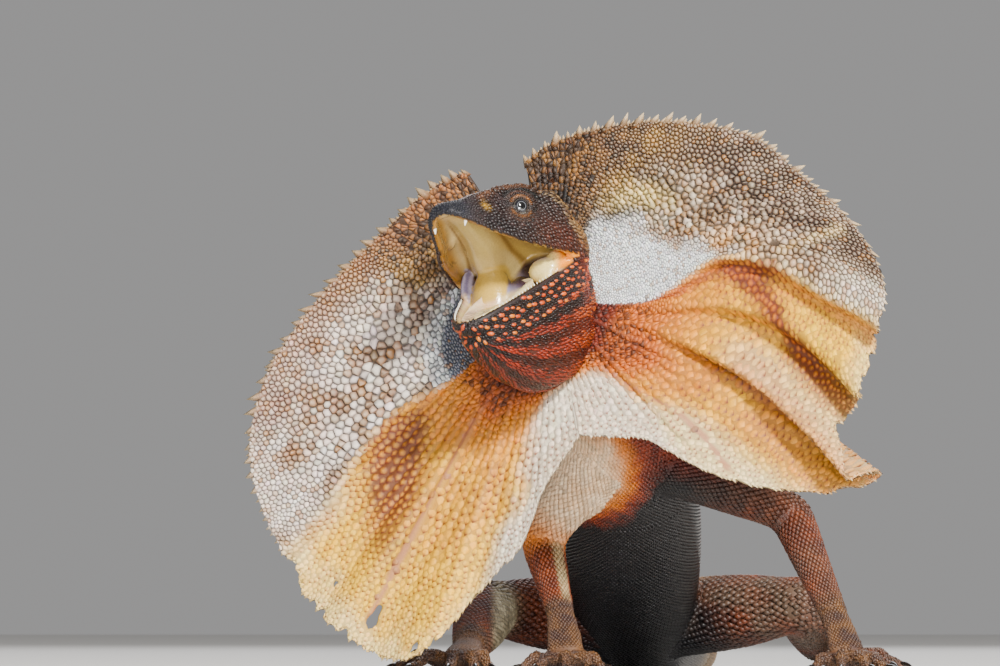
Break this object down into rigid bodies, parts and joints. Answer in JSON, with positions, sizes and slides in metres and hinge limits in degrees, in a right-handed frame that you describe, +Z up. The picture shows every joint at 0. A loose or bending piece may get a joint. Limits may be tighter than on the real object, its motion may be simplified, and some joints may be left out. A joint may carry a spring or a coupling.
{
  "type": "frilled lizard",
  "caption": "Frilled lizard in its threat display: mouth open, frill spread, chest raised on its forelegs and long tail stretched out on the floor.",
  "frame": {"origin": "middle of the bounding box in plan, on the floor that the feet, belly and tail rest on", "axes": "+Z up; the body lies along Y with the snout towards -Y and the tail towards +Y; the animal's left side is towards +X"},
  "size_m": [0.2352, 0.7414, 0.1894],
  "materials": {
    "head_skin": "fine scales, dark brown, satin",
    "jaw_skin": "red scales in black skin, satin",
    "mouth_flesh": "wet, smooth flesh",
    "eye": "wet, clear cornea",
    "back_skin": "keeled scales, grey brown, satin",
    "belly_skin": "small glossy black scales",
    "limb_skin": "overlapping keeled scales, red brown",
    "frill_skin": "flat pale and orange scales on thin skin"
  },
  "bodies": {
    "root": {"head": "head_skin", "lower_jaw": "jaw_skin", "throat": "jaw_skin", "tongue": "mouth_flesh", "mouth_lining": "mouth_flesh", "eye_left": "eye", "eye_right": "eye", "neck": "back_skin", "torso": "belly_skin", "tail_base": "back_skin", "tail_middle": "back_skin", "tail_rear": "back_skin", "tail_tip": "back_skin", "frill_left": "frill_skin", "frill_right": "frill_skin", "upper_arm_left": "limb_skin", "upper_arm_right": "limb_skin", "forearm_left": "limb_skin", "forearm_right": "limb_skin", "hand_left": "limb_skin", "hand_right": "limb_skin", "thigh_left": "limb_skin", "thigh_right": "limb_skin", "shin_left": "limb_skin", "shin_right": "limb_skin", "foot_left": "limb_skin", "foot_right": "limb_skin"}
  },
  "joints": []
}
